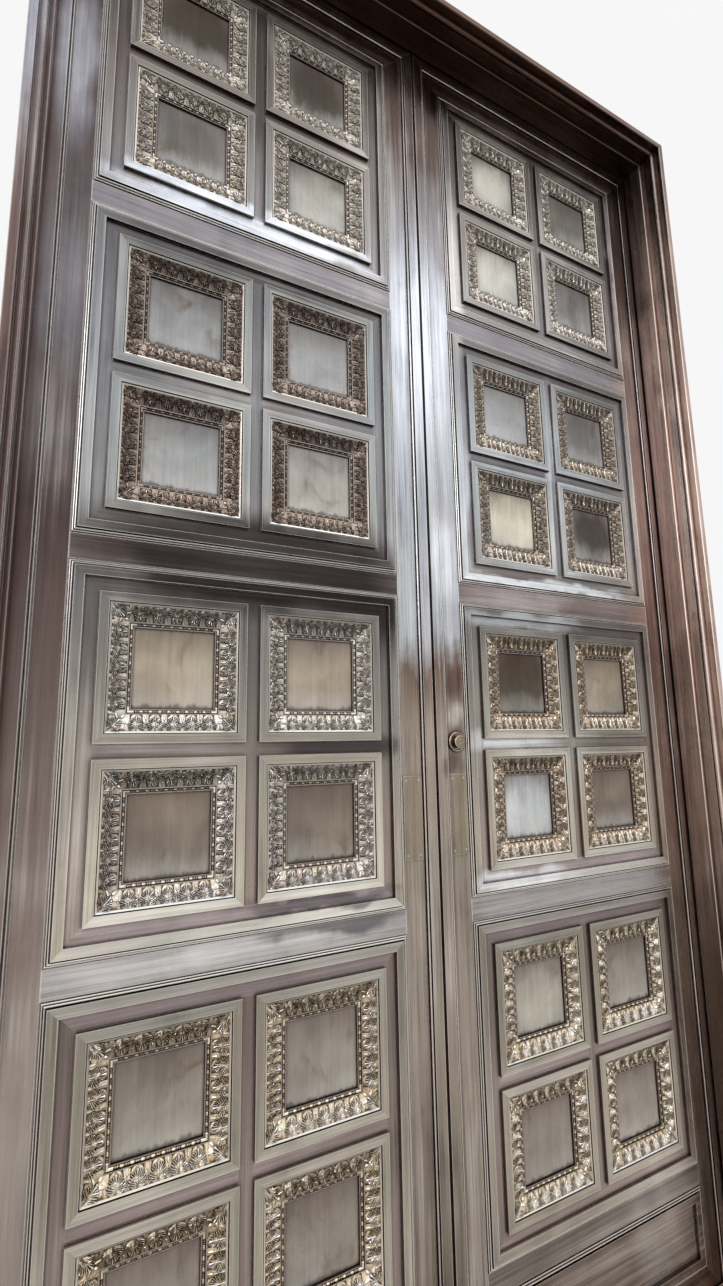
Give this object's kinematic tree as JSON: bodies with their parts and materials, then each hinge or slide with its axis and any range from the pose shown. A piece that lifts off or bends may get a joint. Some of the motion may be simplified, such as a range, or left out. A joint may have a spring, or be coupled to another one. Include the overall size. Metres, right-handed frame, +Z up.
{
  "type": "bronze double door",
  "caption": "Tall hinged double door of bronze: square fields of framed coffers with carved leaf mouldings over plain kick panels, in a stepped bronze frame.",
  "frame": {"origin": "middle of the threshold's underside along its length, in line with the leaves' front faces", "axes": "+Z up, +X to the right seen from outside, +Y inwards, the way that the leaves open"},
  "size_m": [1.934, 0.219, 3.611],
  "materials": {
    "frame_bronze": "brushed bronze with a brown patina",
    "head_bronze": "dark brown patinated bronze",
    "stile_bronze": "brushed bronze, partly cleaned bright",
    "field_bronze": "brushed pale bronze",
    "ornament_bronze": "cast golden bronze, worn bright on its high points",
    "back_bronze": "plain satin bronze sheet",
    "cover_bronze": "scratched bronze plate",
    "hinge_bronze": "machined dark bronze",
    "lock_bronze": "turned bronze"
  },
  "bodies": {
    "frame": {"left_jamb": "frame_bronze", "right_jamb": "frame_bronze", "head": "head_bronze", "threshold": "frame_bronze", "left_frame_hinges": "hinge_bronze", "right_frame_hinges": "hinge_bronze"},
    "left_leaf": {"left_hinge_stile": "stile_bronze", "left_meeting_stile": "stile_bronze", "left_top_rail": "stile_bronze", "left_bottom_rail": "stile_bronze", "left_cross_rails": "field_bronze", "left_field_1": "field_bronze", "left_field_2": "field_bronze", "left_field_3": "field_bronze", "left_field_4": "field_bronze", "left_coffers_1": "ornament_bronze", "left_coffers_2": "ornament_bronze", "left_coffers_3": "ornament_bronze", "left_coffers_4": "ornament_bronze", "left_kick_panel": "field_bronze", "left_back_sheets": "back_bronze", "left_leaf_hinges": "hinge_bronze", "left_cover_plate": "cover_bronze"},
    "right_leaf": {"right_hinge_stile": "stile_bronze", "right_meeting_stile": "stile_bronze", "right_top_rail": "stile_bronze", "right_bottom_rail": "stile_bronze", "right_cross_rails": "field_bronze", "right_field_1": "field_bronze", "right_field_2": "field_bronze", "right_field_3": "field_bronze", "right_field_4": "field_bronze", "right_coffers_1": "ornament_bronze", "right_coffers_2": "ornament_bronze", "right_coffers_3": "ornament_bronze", "right_coffers_4": "ornament_bronze", "right_kick_panel": "field_bronze", "right_back_sheets": "back_bronze", "right_leaf_hinges": "hinge_bronze", "right_cover_plate": "cover_bronze", "lock": "lock_bronze"}
  },
  "joints": [
    {"name": "left_leaf_hinge", "type": "hinge", "parent": "frame", "child": "left_leaf", "pos_m": [-0.9395, 0.074, 0], "axis": [0, 0, 1], "range_deg": [0, 90]},
    {"name": "right_leaf_hinge", "type": "hinge", "parent": "frame", "child": "right_leaf", "pos_m": [0.9395, 0.074, 0], "axis": [0, 0, -1], "range_deg": [0, 90]}
  ]
}
